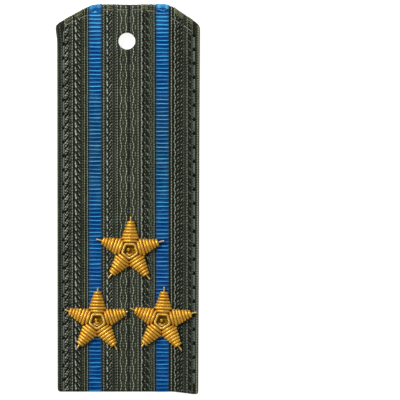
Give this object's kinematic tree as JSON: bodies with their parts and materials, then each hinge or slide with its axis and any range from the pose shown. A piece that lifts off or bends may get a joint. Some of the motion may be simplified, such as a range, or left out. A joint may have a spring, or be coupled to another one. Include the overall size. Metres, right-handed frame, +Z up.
{
  "type": "shoulder board",
  "caption": "Flat cloth-covered shoulder board with a woven cover, ribbed blue stripes, raised stars of gold purl and a button hole near the collar end.",
  "frame": {"origin": "middle of the board's box in plan, at the table under its flat back", "axes": "+Y runs from the open sleeve end to the collar end with the button hole, +Z up out of the face with the stars, +X to the right of the face"},
  "size_m": [0.0514, 0.1384, 0.0058],
  "materials": {
    "backing_cloth": "plain dark olive cloth over a stiff base",
    "galloon_cloth": "woven olive galloon with grey cords and herringbone bands",
    "stripe_cloth": "satin blue rep with cross ribs",
    "gold_purl": "warm gilt coiled wire, satin bright",
    "pale_purl": "paler gilt coiled wire"
  },
  "bodies": {
    "root": {"backing": "backing_cloth", "galloon": "galloon_cloth", "blue_stripe_left": "stripe_cloth", "blue_stripe_right": "stripe_cloth", "star_top_ring": "gold_purl", "star_top_bead": "gold_purl", "star_top_arm_1": "gold_purl", "star_top_pin_1": "pale_purl", "star_top_arm_2": "gold_purl", "star_top_pin_2": "pale_purl", "star_top_arm_3": "gold_purl", "star_top_pin_3": "pale_purl", "star_top_arm_4": "gold_purl", "star_top_pin_4": "pale_purl", "star_top_arm_5": "gold_purl", "star_top_pin_5": "pale_purl", "star_left_ring": "gold_purl", "star_left_bead": "gold_purl", "star_left_arm_1": "gold_purl", "star_left_pin_1": "pale_purl", "star_left_arm_2": "gold_purl", "star_left_pin_2": "pale_purl", "star_left_arm_3": "gold_purl", "star_left_pin_3": "pale_purl", "star_left_arm_4": "gold_purl", "star_left_pin_4": "pale_purl", "star_left_arm_5": "gold_purl", "star_left_pin_5": "pale_purl", "star_right_ring": "gold_purl", "star_right_bead": "gold_purl", "star_right_arm_1": "gold_purl", "star_right_pin_1": "pale_purl", "star_right_arm_2": "gold_purl", "star_right_pin_2": "pale_purl", "star_right_arm_3": "gold_purl", "star_right_pin_3": "pale_purl", "star_right_arm_4": "gold_purl", "star_right_pin_4": "pale_purl", "star_right_arm_5": "gold_purl", "star_right_pin_5": "pale_purl"}
  },
  "joints": []
}
